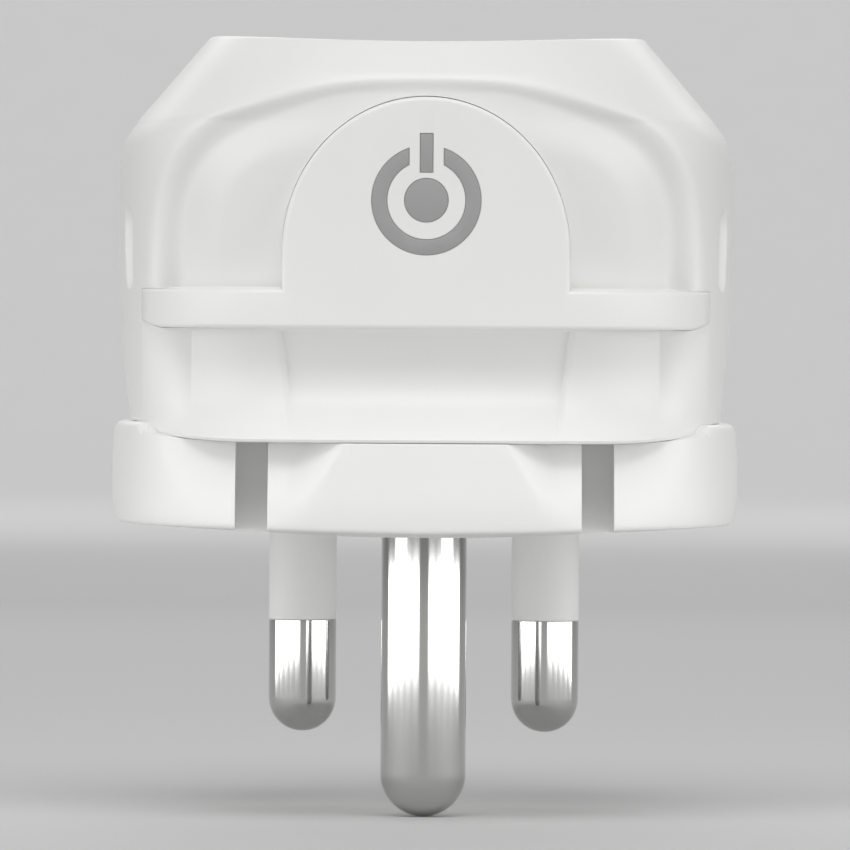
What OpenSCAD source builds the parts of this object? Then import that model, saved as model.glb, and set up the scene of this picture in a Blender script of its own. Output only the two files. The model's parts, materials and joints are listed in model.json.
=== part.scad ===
// Pass-through plug with a power meter: a three-pin plug below, a matching socket on top.
// X runs across the plug, -Y is the side with the press plate, +Z points from pins to socket.
// The origin lies on the engagement face, the flat underside that meets a wall socket. All in mm.

/* [Body] */
// width of the upper housing at its widest level
body_w = 63.5; // [62:0.5:66]
// height from the engagement face to the rim round the socket face
body_h = 51; // [50.5:0.5:53]
// width of the plug base
base_w = 64.5; // [63:0.5:67]
// height of the plug base at its sides
base_h = 11.5; // [11:0.25:12]
// wall thickness of the mouldings
wall = 2.2; // [1.8:0.1:2.4]

/* [Pins] */
// distance between the two current-carrying pins
pin_pitch = 25.4; // [25.2:0.1:25.6]
// distance from the earth pin to the line through the other two
earth_pitch = 28.6; // [28.4:0.1:28.8]
// diameter of the earth pin
earth_d = 8.7; // [8.6:0.05:8.8]
// length of the earth pin below the engagement face
earth_len = 28.6; // [28:0.1:29]
// diameter of the line and neutral pins
line_d = 7.05; // [7:0.05:7.1]
// length of the line and neutral pins below the engagement face
line_len = 21.1; // [20.8:0.1:21.4]
// length of the insulating sleeve on a line or neutral pin
sleeve_len = 9.4; // [8:0.1:10]

/* [Press plate] */
// half width of the arched pad
pad_half_w = 14.5; // [13.5:0.25:15]
// height of the top of the arched pad
pad_top = 44.4; // [43.5:0.1:44.6]
// free space between moving and fixed mouldings
gap = 0.15; // [0.12:0.01:0.2]

/* [Hidden] */
$fn = 64;
segments = 120;     // points round one moulding outline
half_w = body_w / 2;
base_half = base_w / 2;
front_y = 33;       // front of the body, the press plate and the lip
back_y = 31;        // back of the housing
rim_front = 28;     // front edge of the rim round the socket face
rim_back = 25.5;    // back edge of the same rim
chamfer = 0.854;    // sideways run of the upper chamfer per mm of height
chamfer_z = 42.8;   // a level on the side chamfer, with its half width
chamfer_half = half_w - 2.3;
crease = 0.6;       // softness of the edge between the body and the chamfer
lip_z = 9.6;        // underside of the front lip
ledge_z = 20.9;     // underside of the ledge
ledge_top = 25;     // top edge of the ledge strip
lip_half = 28.8;    // half width of the lip and of the ledge strip
arch_half = 28.4;   // half width of the arch that frames the hollow front
arch_h = 21.8;      // height of that arch above the ledge strip
arch_power = 3.3;   // squareness of that arch
earth_y = -17;
line_y = earth_y + earth_pitch;
line_x = pin_pitch / 2;
pad_arch_z = 28.8;  // level where the pad's sides end and its arch begins
edge = 0.01;        // overlap that keeps cutters clear of shared faces

// ---------- outlines ----------

function smooth_min(a, b, k) =
    let (h = max(k - abs(a - b), 0) / k) min(a, b) - h * h * k / 4;

function smooth_step(low, high, v) =
    let (t = min(max((v - low) / (high - low), 0), 1)) t * t * (3 - 2 * t);

// distance from the Z axis to a rounded-square outline, at an angle from +X
function outline_r(angle, half, front, back, power = 3) =
    let (deep = sin(angle) < 0 ? front : back)
    pow(pow(abs(cos(angle)) / half, power) + pow(abs(sin(angle)) / deep, power), -1 / power);

// half width of the body, which bulges most a little above its middle
function bulge_half(z) =
    half_w - (z < 33 ? 0.0029 * pow(33 - z, 2) : 0.00025 * pow(min(z - 33, 9), 4));

function body_r(angle, z) = outline_r(angle, bulge_half(z), front_y, back_y);

// the chamfer is a rounded pyramid that closes in towards the rim
function chamfer_r(angle, z) =
    outline_r(angle, chamfer_half - chamfer * (z - chamfer_z),
        rim_front + chamfer * (body_h - z), rim_back + chamfer * (body_h - z), 2.6);

// how far inside the arch a point of the front lies
function inside_arch(x, z) =
    let (across = abs(x) / arch_half, up = max(z - ledge_top, 0) / arch_h,
         f = max(pow(pow(across, arch_power) + pow(up, arch_power), 1 / arch_power), 0.1),
         slope = pow(f, 1 - arch_power) * norm([pow(across, arch_power - 1) / arch_half,
                                                pow(up, arch_power - 1) / arch_h]))
    (1 - f) / max(slope, 0.02);

// 1 at the ledge, fading to nothing above the pad's middle
function lowness(z) = pow(max(44 - z, 0) / 19, 2);

// how far out from the middle a place is: 0 at the pad's top, 1 at the arch's corners
function cornerness(x) = smooth_step(6, 20, abs(x));

// depth of the hollow front behind the body's outline, deepest at the ledge
function core_depth(x, z) =
    1.5 + 0.5 * cornerness(x)
    - 0.6 * (1 + cornerness(x)) * smooth_step(2.5, 8, inside_arch(x, z))
    + (3.4 - 0.8 * smooth_step(15, 26, abs(x))) * lowness(z);

// what the hollow takes away beyond the chamfer
function hollow(x, z, chamfered) =
    max(core_depth(x, z) - chamfered, 0)
    * smooth_step(0, 2 + 2.2 * cornerness(x), inside_arch(x, z));

grip_end = 23.7;    // where a slanted end of the finger grip meets its flank

// depth of the finger grip: a flat middle, two flanks and a slanted face at each end
function grip(x, z) =
    let (rise = max(z - lip_z - 0.5, 0) / (ledge_z - lip_z - 0.5),
         across = abs(x),
         end = min(max((lip_half - across) / (lip_half - grip_end), 0), 1),
         flank = min(max(grip_end - across, 0) / (grip_end - pad_half_w), 1),
         middle = 1 - smooth_step(-0.4, 0.4, across - 13.4 - 1.4 * rise))
    (3.8 * end + 0.6 * flank + 0.8 * middle) * (1 - pow(1 - rise, 4));

// point on the outside of the upper housing, carved straight back along +Y
function housing_point(angle, z) =
    let (body = body_r(angle, z), r = smooth_min(body, chamfer_r(angle, z), crease),
         x = r * cos(angle),
         depth = sin(angle) >= 0 ? 0
             : z < ledge_z ? grip(x, z)
             : z <= ledge_top ? 0
             : hollow(x, z, body - r))
    [x, r * sin(angle) + depth, z];

angles = [for (i = [0 : segments - 1]) i * 360 / segments];

// move a point towards the Z axis
function inset(p, d) =
    let (r = norm([p[0], p[1]])) [p[0] * (r - d) / r, p[1] * (r - d) / r, p[2]];

function at_level(p, z) = [p[0], p[1], z];

function turned(angle, r, z) = [r * cos(angle), r * sin(angle), z];

// closed skin over a stack of rings of equal length
module skin(rings) {
    n = len(rings[0]);
    last = len(rings) - 1;
    points = [for (ring = rings) each ring];
    walls = [for (k = [0 : last - 1], i = [0 : n - 1])
        let (j = (i + 1) % n) each [
            [k * n + i, (k + 1) * n + j, k * n + j],
            [k * n + i, (k + 1) * n + i, (k + 1) * n + j]]];
    bottom = [[for (i = [0 : n - 1]) i]];
    top = [[for (i = [n - 1 : -1 : 0]) last * n + i]];
    polyhedron(points = points, faces = concat(walls, bottom, top), convexity = 8);
}

module outline(half, front, back, grow = 0) {
    polygon([for (i = [0 : segments - 1])
        let (angle = i * 360 / segments, r = outline_r(angle, half, front, back) + grow)
        [r * cos(angle), r * sin(angle)]]);
}

// ---------- upper housing ----------

housing_levels = [10.6, 11.2, 12.2, 13.6, 15.4, 18, 20.5, ledge_z, ledge_z + edge, ledge_top,
    ledge_top + edge, 27, 29, 31, 33, 35, 37, 38.5, 40, 41, 41.8, 42.6, 43.4, 44.2, 45, 46,
    46.8, 48, 49.5, 50.8, body_h];
rim_trim = 0.15;    // rounding of the rim
rim_sink = 0.9;     // how far the rim sinks in its middle

// the lip's lower edge curves up towards its ends
function lip_rise(x) = 0.95 * pow(max(abs(x) - 18, 0) / 11, 2);

module housing_solid() {
    low = [for (a = angles) housing_point(a, lip_z)];
    skin(concat(
        [[for (p = low) inset(p, 3)],
         [for (p = low) at_level(p, lip_z + 0.05 + lip_rise(p[0]))]],
        [for (z = housing_levels)
            [for (a = angles) inset(housing_point(a, z), z > body_h - edge ? rim_trim : 0)]]));
}

// the rim sinks a little towards its middle
module rim_valley() {
    reach = 22.4;
    r = (reach * reach + rim_sink * rim_sink) / (2 * rim_sink);
    translate([0, 40, body_h - rim_sink + r]) rotate([90, 0, 0]) cylinder(r = r, h = 80);
}

cavity_top = body_h - 2.2;
cavity_front = 25;
cavity_front_high = 25.6;

module housing_cavity() {
    skin([for (z = [base_h - 3, 20, 25.2, 26.2, 33, 38, 41, 43, 45, 47, cavity_top])
        let (front = z < 26 ? cavity_front : cavity_front_high)
        [for (a = angles)
            turned(a, min(outline_r(a, bulge_half(z) - wall, front, back_y - wall),
                chamfer_r(a, z) - wall), z)]]);
}

insert_half = 19.4;
insert_front = 24.4;
insert_back = 19.2;
insert_top = body_h - 1.2;

// arched front outline of the pad, standing on a level line
module arch(half, bottom, top) {
    steps = 32;
    curve = [for (i = [0 : steps])
        let (angle = i * 180 / steps)
        [half * cos(angle), pad_arch_z + (top - pad_arch_z) * sin(angle)]];
    polygon(concat(curve, [[-half, bottom], [half, bottom]]));
}

// extrude a front-view outline from y = near back to y = far
module from_front(near, far) {
    translate([0, far, 0]) rotate([90, 0, 0]) linear_extrude(far - near) children();
}

screw_places = [[-21, -15], [21, -15], [-20, 20.5], [20, 20.5]];
boss_d = 6.4;
screw_hole_d = 2.5;
rib_end = 28.6;     // how far the boss ribs reach into the side walls
pivot_y = -26.4;
pivot_z = 23.2;
pivot_d = 1.6;
pivot_len = 34;
lug_x = 9;          // places of the pivot lugs, either side of the middle
lug_w = 5;
skirt_back = -26.2; // back edge of the pad's skirt
skirt_bottom = 24.4;
lip_back = -19;
dimple_d = 4.6;     // round tool that leaves the dimples in the sides
dimple_place = [half_w, -16.9, 29];
dimple_len = 5;

module housing() {
    color([0.93, 0.93, 0.92]) difference() {
        union() {
            difference() {
                housing_solid();
                housing_cavity();
            }
            screw_bosses();
        }
        rim_valley();
        socket_opening();
        from_front(-40, -22) arch(pad_half_w + gap, skirt_bottom - gap, pad_top + gap);
        strip_pocket();
        pivot_channels();
        side_dimples();
        seam_step();
        for (place = screw_places)
            translate([place[0], place[1], base_h - 1]) cylinder(d = screw_hole_d, h = 6);
    }
}

// bosses for the case screws, each tied to the side wall by a rib
module screw_bosses() {
    for (place = screw_places) {
        side = place[0] > 0 ? 1 : -1;
        translate([place[0], place[1], base_h]) cylinder(d = boss_d, h = 6);
        translate([side > 0 ? place[0] : -rib_end, place[1] - 0.8, base_h])
            cube([rib_end - abs(place[0]), 1.6, 6]);
    }
}

module socket_opening() {
    translate([0, 0, cavity_top - 1])
        linear_extrude(5) outline(insert_half, insert_front, insert_back, 0.05);
}

// pocket for the ledge strip, open in front and below
module strip_pocket() {
    difference() {
        translate([-lip_half - gap, -40, ledge_z - 1])
            cube([2 * (lip_half + gap), 30, ledge_top - ledge_z + 1 + 2 * gap]);
        translate([0, 0, ledge_z - 2]) linear_extrude(10) plate_outline(strip_t + gap);
    }
}

// an upright dimple in each side, for a thumb and a finger
module side_dimples() {
    for (side = [-1, 1])
        translate([side * dimple_place[0], dimple_place[1], dimple_place[2]])
            rotate_extrude() intersection() {
                union() {
                    for (end = [-1, 1]) translate([0, end * dimple_len / 2]) circle(d = dimple_d);
                    square([dimple_d, dimple_len], center = true);
                }
                translate([0, -dimple_len]) square([dimple_d, 2 * dimple_len]);
            }
}

// channels for the two pivot lugs and the bore for their rod
module pivot_channels() {
    for (side = [-1, 1])
        translate([side * lug_x - lug_w / 2 - gap, -40, pivot_z - 1.8])
            cube([lug_w + 2 * gap, 18, 4]);
    translate([-pivot_len / 2, pivot_y, pivot_z]) rotate([0, 90, 0])
        cylinder(d = pivot_d + 0.04, h = pivot_len);
}

// away from the front lip the housing ends on top of the base
module seam_step() {
    far = 50;
    translate([-far, lip_back, 0]) cube([2 * far, far + 20, base_h]);
    for (side = [-1, 1])
        translate([side > 0 ? lip_half : -far, -far, 0]) cube([far - lip_half, far, base_h]);
}

// ---------- press plate ----------

strip_t = 1.8;      // thickness of the press plate's skin
strip_z = ledge_z + 0.2;
symbol_z = 34;      // centre of the lit ring
ring_r = 5.5;
ring_hole_r = 3.95;
dot_r = 2.2;
bar_w = 1.3;
bar_low = 2.8;
bar_high = 6.7;
ring_gap = 3.5;
post_x = 8.4;       // place of the post that works the switch behind the pad
post_z = 31.5;

module plate_outline(shrink) {
    outline(half_w, front_y, back_y, -shrink);
}

module front_plate() {
    color([0.94, 0.94, 0.93]) difference() {
        union() {
            ledge_strip();
            pad_shell();
            pivot_lugs();
            switch_post();
        }
        from_front(-40, -30) symbol_outline(0.03);
        translate([-20, pivot_y, pivot_z]) rotate([0, 90, 0])
            cylinder(d = pivot_d + 0.1, h = 40);
    }
}

module ledge_strip() {
    intersection() {
        translate([0, 0, strip_z]) linear_extrude(ledge_top - strip_z) difference() {
            plate_outline(0);
            plate_outline(strip_t);
        }
        translate([-lip_half, -40, strip_z])
            cube([2 * lip_half, 30, ledge_top - strip_z]);
    }
}

module pad_shell() {
    difference() {
        intersection() {
            translate([0, 0, skirt_bottom]) linear_extrude(30) plate_outline(0);
            from_front(-40, skirt_back) arch(pad_half_w, skirt_bottom, pad_top);
        }
        intersection() {
            translate([0, 0, skirt_bottom - 1]) linear_extrude(30) plate_outline(strip_t);
            from_front(-40, skirt_back + 1)
                arch(pad_half_w - strip_t, skirt_bottom + strip_t, pad_top - strip_t);
        }
    }
}

module pivot_lugs() {
    for (side = [-1, 1])
        translate([side * lug_x - lug_w / 2, pivot_y, pivot_z]) {
            rotate([0, 90, 0]) cylinder(d = 3, h = lug_w);
            translate([0, -1.5, 0]) cube([lug_w, 3, skirt_bottom - pivot_z + 1]);
        }
}

module switch_post() {
    translate([post_x, -31, post_z]) rotate([-90, 0, 0]) cylinder(d = 2.6, h = 1.9);
}

module symbol_outline(grow) {
    translate([0, symbol_z]) {
        difference() {
            circle(ring_r + grow);
            circle(ring_hole_r - grow);
            translate([-ring_gap / 2 + grow, 0]) square([ring_gap - 2 * grow, 8]);
        }
        circle(dot_r + grow);
        translate([-bar_w / 2 - grow, bar_low - grow])
            square([bar_w + 2 * grow, bar_high - bar_low + 2 * grow]);
    }
}

module light_guide() {
    back = -29.9;
    color([0.62, 0.62, 0.62]) {
        from_front(-front_y + 0.03, -front_y + strip_t + 0.1) symbol_outline(0);
        from_front(-front_y + strip_t + 0.1, back) translate([0, symbol_z + 0.6]) circle(7);
    }
}

module pivot_rod() {
    color([0.7, 0.71, 0.72]) translate([-pivot_len / 2 + 0.5, pivot_y, pivot_z])
        rotate([0, 90, 0]) cylinder(d = pivot_d, h = pivot_len - 1);
}

// ---------- base ----------

groove_low = 15.8;
groove_high = 19.1;
floor_t = 3;
collar_r = 0.3;     // how much wider a pin is inside the floor than below it
pin_fit = 0.05;

// the bottom edge lifts off the wall socket, more so towards the sides
function foot_lift(x) = 0.42 + 0.75 * pow(abs(x) / base_half, 1.3);

// the front falls back under the lip on either side of a soft nose
function nose_shadow(x, z) =
    let (start = 8 + 0.5 * (lip_z - z), low = min(max((z - 1) / (lip_z - 1), 0), 1))
    2.8 * smooth_step(start, start + 4, abs(x)) * (1 - smooth_step(19, 29.5, abs(x)))
    * pow(low, 1.5);

// the sides of the base bulge slightly
function barrel(z) = 0.006 * pow(z - 5, 2) + 0.03 * pow(max(4.4 - z, 0), 2);

function top_inset(z) =
    let (r = 0.9, down = min(max(z - base_h + r, 0), r)) r - sqrt(r * r - down * down);

function base_point(angle, z) =
    let (r = outline_r(angle, base_half, front_y, back_y + 0.5),
         depth = sin(angle) < 0 ? nose_shadow(r * cos(angle), z) : 0)
    inset([r * cos(angle), r * sin(angle) + depth, z], barrel(z) + top_inset(z));

base_levels = [3, 4.6, 6.2, 7.8, 9.2, 9.9, base_h - 0.9, base_h - 0.5, base_h - 0.15, base_h];

module base_solid() {
    low = [for (a = angles) base_point(a, 2)];
    skin(concat(
        [[for (a = angles) turned(a, outline_r(a, 10, 27, 26), 0)],
         [for (p = low) inset(at_level(p, foot_lift(p[0]) * 0.4), norm([p[0], p[1]]) * 0.3)],
         [for (p = low) inset(at_level(p, foot_lift(p[0])), 0.4)],
         [for (p = low) at_level(p, foot_lift(p[0]) + 0.4)]],
        [for (z = base_levels) [for (a = angles) base_point(a, z)]]));
}

groove_back = -23;

module groove(grow, back, height) {
    for (side = [-1, 1])
        translate([side * (groove_low + groove_high) / 2 - (groove_high - groove_low) / 2 - grow,
            -40, floor_t - 4])
            cube([groove_high - groove_low + 2 * grow, 40 + back, height]);
}

// walls that close the grooves off from the inside of the base
module groove_walls() {
    intersection() {
        groove(1.6, groove_back + 1.6, lip_z + 1);
        translate([0, 0, 0.5]) linear_extrude(lip_z) outline(28, 27, 27);
    }
}

module pin_holes_in_floor() {
    translate([0, earth_y, -1]) cylinder(d = earth_d + 2 * (collar_r + pin_fit), h = 6);
    for (side = [-1, 1])
        translate([side * line_x, line_y, -1])
            cylinder(d = line_d + 2 * (collar_r + pin_fit), h = 6);
}

module plug_base() {
    color([0.92, 0.92, 0.91]) difference() {
        union() {
            difference() {
                base_solid();
                translate([0, 0, floor_t]) linear_extrude(base_h)
                    outline(base_half - 2.6, cavity_front, back_y - 2.3);
            }
            groove_walls();
            screw_posts();
        }
        groove(0, groove_back, 20);
        // seat for the front lip
        translate([-lip_half - 0.1, -50, lip_z - 0.02])
            cube([2 * lip_half + 0.2, 50 + lip_back + 0.1, base_h]);
        pin_holes_in_floor();
        for (place = screw_places)
            translate([place[0], place[1], -1]) {
                cylinder(d = 3.1, h = 14);
                cylinder(d = 5.8, h = 3.65);
            }
    }
}

// posts that carry the case screws up to the housing's bosses
module screw_posts() {
    for (place = screw_places)
        translate([place[0], place[1], 1]) cylinder(d = boss_d, h = base_h - 1);
}

module case_screws() {
    color([0.6, 0.61, 0.63]) for (place = screw_places)
        translate([place[0], place[1], 0]) difference() {
            union() {
                translate([0, 0, 0.9]) cylinder(d = 5.4, h = 1.7);
                translate([0, 0, 2.5]) cylinder(d = screw_hole_d, h = 12);
            }
            for (turn = [0, 90])
                rotate(turn) translate([-1.6, -0.3, 0]) cube([3.2, 0.6, 1.9]);
        }
}

// ---------- pins ----------

collar_t = 2;
stem_top = 9.5;

// a pin with a round tip, a shoulder in the floor, a collar above it and a rear stem
module pin(d, length, metal_top) {
    r = d / 2;
    rotate_extrude() union() {
        translate([0, -length + r]) intersection() {
            circle(r);
            translate([0, -r]) square([r, r]);
        }
        translate([0, -length + r]) square([r, length - r + metal_top]);
    }
}

module earth_pin() {
    color([0.78, 0.78, 0.78]) translate([0, earth_y, 0]) {
        pin(earth_d, earth_len, 0);
        cylinder(d = earth_d + 2 * collar_r, h = floor_t);
        translate([0, 0, floor_t]) cylinder(d = earth_d + 4, h = collar_t);
        translate([0, 0, floor_t + collar_t]) cylinder(d = 4, h = stem_top - 5);
    }
}

core_d = 5;         // metal inside the insulating sleeve

module line_pin_metal() {
    pin(line_d, line_len, -sleeve_len);
    translate([0, 0, -sleeve_len - 0.1]) cylinder(d = core_d, h = sleeve_len + floor_t + 0.1);
    translate([0, 0, floor_t]) cylinder(d = line_d + 3.6, h = collar_t);
    translate([0, 0, floor_t + collar_t]) cylinder(d = 3.6, h = stem_top - 5);
}

module live_pin() {
    color([0.78, 0.78, 0.78]) translate([-line_x, line_y, 0]) line_pin_metal();
}

module neutral_pin() {
    color([0.78, 0.78, 0.78]) translate([line_x, line_y, 0]) line_pin_metal();
}

module pin_sleeve() {
    difference() {
        union() {
            translate([0, 0, -sleeve_len]) cylinder(d = line_d, h = sleeve_len);
            cylinder(d = line_d + 2 * collar_r, h = floor_t);
        }
        translate([0, 0, -sleeve_len - 1]) cylinder(d = core_d, h = sleeve_len + floor_t + 2);
    }
}

module live_pin_sleeve() {
    color([0.95, 0.95, 0.94]) translate([-line_x, line_y, 0]) pin_sleeve();
}

module neutral_pin_sleeve() {
    color([0.95, 0.95, 0.94]) translate([line_x, line_y, 0]) pin_sleeve();
}

clamp_z = floor_t + collar_t;
clamp_screw_places = [[-7, -4], [7, -4]];
board_z = 12.4;
board_t = 1.6;

// plate over the pin collars, with four pillars for the main board
module pin_clamp() {
    color([0.75, 0.76, 0.72]) difference() {
        union() {
            translate([-7, earth_y - 7, clamp_z]) cube([14, 34, 2]);
            translate([-18.4, line_y - 6, clamp_z]) cube([36.8, 12, 2]);
            for (x = [-17, 17], y = [line_y - 4, line_y + 4])
                translate([x * 1.04, y, clamp_z]) cylinder(d = 2.4, h = board_z - clamp_z);
            for (place = clamp_screw_places)
                translate([place[0] * 0.7, place[1], floor_t]) cylinder(d = 5, h = clamp_z - floor_t);
        }
        translate([0, earth_y, clamp_z - 1]) cylinder(d = 4.3, h = 4);
        for (side = [-1, 1])
            translate([side * line_x, line_y, clamp_z - 1]) cylinder(d = 3.9, h = 4);
        for (place = clamp_screw_places)
            translate([place[0] * 0.7, place[1], floor_t - 1]) cylinder(d = 2.1, h = 6);
    }
}

module clamp_screws() {
    color([0.6, 0.61, 0.63]) for (place = clamp_screw_places)
        translate([place[0] * 0.7, place[1], 0]) {
            translate([0, 0, clamp_z + 2]) cylinder(d = 3.8, h = 1.4);
            translate([0, 0, floor_t]) cylinder(d = 2, h = clamp_z - floor_t + 2);
        }
}

// ---------- socket ----------

earth_hole_d = 9.2;
line_hole_d = 7.5;
insert_low = cavity_top - 2;
carrier_top = 44.4;
carrier_low = 41;

module pin_holes(earth, line) {
    translate([0, earth_y]) circle(d = earth);
    for (side = [-1, 1]) translate([side * line_x, line_y]) circle(d = line);
}

module socket_insert() {
    color([0.93, 0.93, 0.92]) difference() {
        union() {
            translate([0, 0, cavity_top]) linear_extrude(insert_top - cavity_top)
                outline(insert_half, insert_front, insert_back);
            translate([0, 0, insert_low]) linear_extrude(cavity_top - insert_low)
                outline(insert_half, insert_front, insert_back, 1);
            for (x = [-18.2, 18.2], y = [-6, 6])
                translate([x, y, carrier_top]) cylinder(d = 2.4, h = insert_low - carrier_top);
        }
        translate([0, 0, insert_low - 1]) linear_extrude(8) pin_holes(earth_hole_d, line_hole_d);
    }
}

earth_tube_top = 36.5;
tube_wall = 0.9;

// plate that carries the three socket contacts
module contact_carrier() {
    color([0.8, 0.8, 0.77]) difference() {
        union() {
            translate([0, 0, carrier_low]) linear_extrude(carrier_top - carrier_low)
                outline(20, 23, 18);
            translate([0, earth_y, earth_tube_top - 3])
                cylinder(d = earth_d + 4, h = carrier_top - earth_tube_top + 3);
        }
        translate([0, earth_y, earth_tube_top - 4]) cylinder(d = earth_d + 2 * tube_wall + 0.1, h = 4);
        translate([0, earth_y, earth_tube_top - 4]) cylinder(d = earth_hole_d, h = 20);
        for (side = [-1, 1]) translate([side * line_x, line_y, carrier_low - 1])
            cylinder(d = line_d + 2 * tube_wall + 0.1, h = 8);
        // way for the shutter's wedge
        translate([-4, earth_y - 4, earth_tube_top + 0.1]) cube([8, 17.4, 20]);
    }
    color([0.8, 0.8, 0.77]) translate([-1.4, 4.6, carrier_top]) cube([2.8, 1.4, 2]);
}

module contact_tube(d, low, high) {
    difference() {
        cylinder(d = d + 2 * tube_wall, h = high - low);
        translate([0, 0, 1]) cylinder(d = d + 0.06, h = high - low);
        for (turn = [0, 90])
            rotate(turn) translate([-d, -0.4, 4]) cube([2 * d, 0.8, high - low - 8]);
    }
}

earth_tube_low = 20.2;
line_tube_low = 27.6;

module earth_contact() {
    color([0.85, 0.7, 0.4]) translate([0, earth_y, earth_tube_low])
        contact_tube(earth_d, earth_tube_low, earth_tube_top);
}

module live_contact() {
    color([0.85, 0.7, 0.4]) translate([-line_x, line_y, line_tube_low])
        contact_tube(line_d, line_tube_low, carrier_top - 0.2);
}

module neutral_contact() {
    color([0.85, 0.7, 0.4]) translate([line_x, line_y, line_tube_low])
        contact_tube(line_d, line_tube_low, carrier_top - 0.2);
}

// ---------- shutter ----------

shutter_low = carrier_top + 0.3;
shutter_t = 1.7;
window_low = -8;
window_high = 6.3;

module shutter() {
    color([0.85, 0.3, 0.2]) {
        translate([0, 0, shutter_low]) linear_extrude(shutter_t) difference() {
            union() {
                translate([-3.6, earth_y + 4.4]) square([7.2, line_y - earth_y - 6]);
                polygon([[-17.2, line_y - 4.1], [17.2, line_y - 4.1], [17.2, line_y + 1.4],
                    [14, line_y + 4.1], [-14, line_y + 4.1], [-17.2, line_y + 1.4]]);
            }
            translate([-1.7, window_low]) square([3.4, window_high - window_low]);
        }
        shutter_wedge();
    }
}

// the earth pin's tip slides down this wedge and drives the shutter back
module shutter_wedge() {
    high = shutter_low + shutter_t;
    drop = 8.2;
    translate([-3.6, 0, 0]) rotate([90, 0, 90]) linear_extrude(7.2)
        polygon([[earth_y + 4.4, high], [earth_y + 4.4 - drop, high - drop],
            [earth_y + 4.4 - drop, high - drop - 0.8], [earth_y + 4.5, high - drop - 0.8],
            [earth_y + 4.5, high]]);
}

spring_r = 0.8;
spring_wire = 0.17;
spring_turns = 8;

module shutter_spring() {
    low = window_low + spring_wire + 0.05;
    high = 4.6 - spring_wire - 0.05;
    z = shutter_low + shutter_t / 2;
    turn_steps = 14;
    sides = 6;
    count = spring_turns * turn_steps;
    rings = [for (k = [0 : count])
        let (turn = 360 * k / turn_steps)
        [for (s = [0 : sides - 1])
            let (a = 360 * s / sides, r = spring_r + spring_wire * cos(a))
            [r * cos(turn), low + (high - low) * k / count + spring_wire * sin(a), z + r * sin(turn)]]];
    color([0.7, 0.7, 0.72]) skin(rings);
}

// ---------- electronics ----------

module main_board() {
    color([0.1, 0.4, 0.2]) difference() {
        translate([0, 0, board_z]) linear_extrude(board_t) outline(26, 22, 25);
        translate([0, earth_y, board_z - 1]) cylinder(d = 9, h = 4);
        translate([-4, earth_y, board_z - 1]) cube([8, 9, 4]);
        for (side = [-1, 1]) translate([side * line_x, line_y, board_z - 1]) cylinder(d = 8, h = 4);
        for (place = screw_places)
            translate([place[0], place[1], board_z - 1]) cylinder(d = boss_d + 1, h = 4);
    }
}

top_z = board_z + board_t;

module on_board(x, y) {
    translate([x, y, top_z]) children();
}

module relay_case() {
    color([0.15, 0.2, 0.35]) on_board(-14.5, -6.4) cube([29, 12.6, 15.7]);
}

module transformer_core() {
    color([0.2, 0.2, 0.22]) on_board(21, -1) for (z = [1.2, 8.4])
        translate([-4.5, -5, z]) cube([9, 10, 2.4]);
    color([0.2, 0.2, 0.22]) on_board(21, -1) for (x = [-4.5, 2.7])
        translate([x, -2.5, 3.6]) cube([1.8, 5, 4.8]);
}

module transformer_bobbin() {
    color([0.85, 0.75, 0.3]) on_board(21, -1) {
        translate([-2.6, -4, 3.6]) cube([5.2, 8, 4.8]);
        for (y = [-4.6, 3.6]) translate([-2.6, y, 0]) cube([5.2, 1, 1.2]);
        for (y = [-7.4, 5.4]) translate([-3.5, y, 0]) cube([7, 2, 3]);
    }
}

module bulk_capacitors() {
    color([0.15, 0.2, 0.5]) for (y = [-3.6, 4.8])
        on_board(-21.5, y) cylinder(d = 8, h = 13);
}

module output_capacitor() {
    color([0.15, 0.2, 0.5]) on_board(20.4, 9.4) cylinder(d = 5, h = 11);
}

module film_capacitor() {
    color([0.8, 0.7, 0.2]) on_board(-7, 17.4) cube([14, 6, 11]);
}

module varistor() {
    color([0.2, 0.45, 0.7]) on_board(-21.2, 13) rotate([90, 0, 0])
        translate([0, 5, -1.9]) cylinder(d = 8, h = 3.8);
}

module fuse() {
    color([0.75, 0.72, 0.62]) on_board(20.4, 14.3) cylinder(d = 4.2, h = 9);
}

module current_shunt() {
    color([0.7, 0.55, 0.4]) on_board(-5.6, 9) {
        cube([10.5, 5, 0.9]);
        for (x = [0, 8.5]) translate([x, 0, 0.9]) cube([2, 5, 1.2]);
    }
}

module metering_chip() {
    color([0.12, 0.12, 0.13]) on_board(-13, -15.8) cube([6, 5, 1.7]);
}

module bridge_rectifier() {
    color([0.12, 0.12, 0.13]) on_board(8, -15) cube([6.4, 5, 2.4]);
}

module radio_board() {
    color([0.1, 0.3, 0.5]) on_board(-9, 25.2) cube([18, 0.9, 22]);
}

module radio_shield() {
    color([0.75, 0.75, 0.77]) on_board(-6.5, 26.1) translate([0, 0, 2]) cube([13, 1.6, 12]);
}

button_board_y = -24.5;

module button_board() {
    color([0.1, 0.4, 0.2]) translate([-11.6, button_board_y, 26.5]) cube([23.2, 1, 15.5]);
}

module switch_body() {
    color([0.2, 0.2, 0.22]) difference() {
        translate([post_x - 2.25, button_board_y - 3.4, post_z - 2.25]) cube([4.5, 3.4, 4.5]);
        translate([post_x, button_board_y - 4, post_z]) rotate([-90, 0, 0])
            cylinder(d = 2.9, h = 2.6);
    }
}

module switch_plunger() {
    color([0.9, 0.9, 0.88]) translate([post_x, -29, post_z]) rotate([-90, 0, 0])
        cylinder(d = 2.8, h = 2.5);
}

module status_led() {
    color([0.95, 0.95, 0.8]) translate([0, button_board_y, symbol_z]) {
        for (turn = [0 : 90 : 270])
            rotate([0, turn + 45, 0]) translate([3.2, -0.9, -0.8]) cube([1.6, 0.9, 1.6]);
        translate([-0.8, -0.9, -0.8]) cube([1.6, 0.9, 1.6]);
    }
}

// ---------- conductors ----------

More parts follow.
